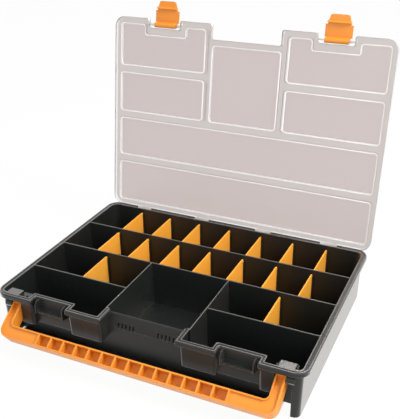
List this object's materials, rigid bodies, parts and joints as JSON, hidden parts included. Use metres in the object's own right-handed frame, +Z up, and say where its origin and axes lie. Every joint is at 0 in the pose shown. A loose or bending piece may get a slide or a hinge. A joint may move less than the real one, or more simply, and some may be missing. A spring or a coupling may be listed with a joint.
{
  "type": "compartment tool case",
  "caption": "Portable parts organiser: dark compartment tray with a clear hinged lid, two orange snap latches, a folding orange handle and orange lift-out dividers.",
  "frame": {"origin": "under the middle of the tray rim, on the surface that the tray stands on", "axes": "+Z up, +X to the right along the width as seen from the front, -Y out of the front where the handle and latches are, +Y towards the lid hinge"},
  "size_m": [0.43, 0.3991, 0.3861],
  "materials": {
    "tray_plastic": "dark grey-green polypropylene, fine matt moulding with polished rim edges",
    "lid_plastic": "clear polypropylene, slightly milky, fine frosted panels",
    "orange_plastic": "orange polypropylene, satin moulding"
  },
  "bodies": {
    "tray": {"tray": "tray_plastic"},
    "lid": {"lid": "lid_plastic"},
    "latch_left": {"latch_left": "orange_plastic"},
    "latch_right": {"latch_right": "orange_plastic"},
    "handle": {"handle": "orange_plastic"},
    "rear_row_divider_1": {"rear_row_divider_1": "orange_plastic"},
    "rear_row_divider_2": {"rear_row_divider_2": "orange_plastic"},
    "rear_row_divider_3": {"rear_row_divider_3": "orange_plastic"},
    "rear_row_divider_4": {"rear_row_divider_4": "orange_plastic"},
    "rear_row_divider_5": {"rear_row_divider_5": "orange_plastic"},
    "rear_row_divider_6": {"rear_row_divider_6": "orange_plastic"},
    "rear_row_divider_7": {"rear_row_divider_7": "orange_plastic"},
    "second_row_divider_1": {"second_row_divider_1": "orange_plastic"},
    "second_row_divider_2": {"second_row_divider_2": "orange_plastic"},
    "second_row_divider_3": {"second_row_divider_3": "orange_plastic"},
    "second_row_divider_4": {"second_row_divider_4": "orange_plastic"},
    "second_row_divider_5": {"second_row_divider_5": "orange_plastic"},
    "second_row_divider_6": {"second_row_divider_6": "orange_plastic"},
    "second_row_divider_7": {"second_row_divider_7": "orange_plastic"},
    "third_row_divider_left": {"third_row_divider_left": "orange_plastic"},
    "third_row_divider_right": {"third_row_divider_right": "orange_plastic"}
  },
  "joints": [
    {"name": "lid_hinge", "type": "hinge", "parent": "tray", "child": "lid", "pos_m": [0, 0.14985, 0.0647], "axis": [-1, 0, 0], "range_deg": [-98.4, 0]},
    {"name": "latch_left_pivot", "type": "hinge", "parent": "lid", "child": "latch_left", "pos_m": [-0.1308, 0.20079, 0.35285], "axis": [-1, 0, 0], "range_deg": [-90, 0]},
    {"name": "latch_right_pivot", "type": "hinge", "parent": "lid", "child": "latch_right", "pos_m": [0.1308, 0.20079, 0.35285], "axis": [-1, 0, 0], "range_deg": [-90, 0]},
    {"name": "handle_swing", "type": "hinge", "parent": "tray", "child": "handle", "pos_m": [0, -0.14415, 0.053], "axis": [-1, 0, 0], "range_deg": [-55.5, 60]},
    {"name": "rear_row_divider_1_lift", "type": "slide", "parent": "tray", "child": "rear_row_divider_1", "axis": [0, 0, 1], "range_m": [0, 0.075]},
    {"name": "rear_row_divider_2_lift", "type": "slide", "parent": "tray", "child": "rear_row_divider_2", "axis": [0, 0, 1], "range_m": [0, 0.075]},
    {"name": "rear_row_divider_3_lift", "type": "slide", "parent": "tray", "child": "rear_row_divider_3", "axis": [0, 0, 1], "range_m": [0, 0.075]},
    {"name": "rear_row_divider_4_lift", "type": "slide", "parent": "tray", "child": "rear_row_divider_4", "axis": [0, 0, 1], "range_m": [0, 0.075]},
    {"name": "rear_row_divider_5_lift", "type": "slide", "parent": "tray", "child": "rear_row_divider_5", "axis": [0, 0, 1], "range_m": [0, 0.075]},
    {"name": "rear_row_divider_6_lift", "type": "slide", "parent": "tray", "child": "rear_row_divider_6", "axis": [0, 0, 1], "range_m": [0, 0.075]},
    {"name": "rear_row_divider_7_lift", "type": "slide", "parent": "tray", "child": "rear_row_divider_7", "axis": [0, 0, 1], "range_m": [0, 0.075]},
    {"name": "second_row_divider_1_lift", "type": "slide", "parent": "tray", "child": "second_row_divider_1", "axis": [0, 0, 1], "range_m": [0, 0.075]},
    {"name": "second_row_divider_2_lift", "type": "slide", "parent": "tray", "child": "second_row_divider_2", "axis": [0, 0, 1], "range_m": [0, 0.075]},
    {"name": "second_row_divider_3_lift", "type": "slide", "parent": "tray", "child": "second_row_divider_3", "axis": [0, 0, 1], "range_m": [0, 0.075]},
    {"name": "second_row_divider_4_lift", "type": "slide", "parent": "tray", "child": "second_row_divider_4", "axis": [0, 0, 1], "range_m": [0, 0.075]},
    {"name": "second_row_divider_5_lift", "type": "slide", "parent": "tray", "child": "second_row_divider_5", "axis": [0, 0, 1], "range_m": [0, 0.075]},
    {"name": "second_row_divider_6_lift", "type": "slide", "parent": "tray", "child": "second_row_divider_6", "axis": [0, 0, 1], "range_m": [0, 0.075]},
    {"name": "second_row_divider_7_lift", "type": "slide", "parent": "tray", "child": "second_row_divider_7", "axis": [0, 0, 1], "range_m": [0, 0.075]},
    {"name": "third_row_divider_left_lift", "type": "slide", "parent": "tray", "child": "third_row_divider_left", "axis": [0, 0, 1], "range_m": [0, 0.075]},
    {"name": "third_row_divider_right_lift", "type": "slide", "parent": "tray", "child": "third_row_divider_right", "axis": [0, 0, 1], "range_m": [0, 0.075]}
  ]
}
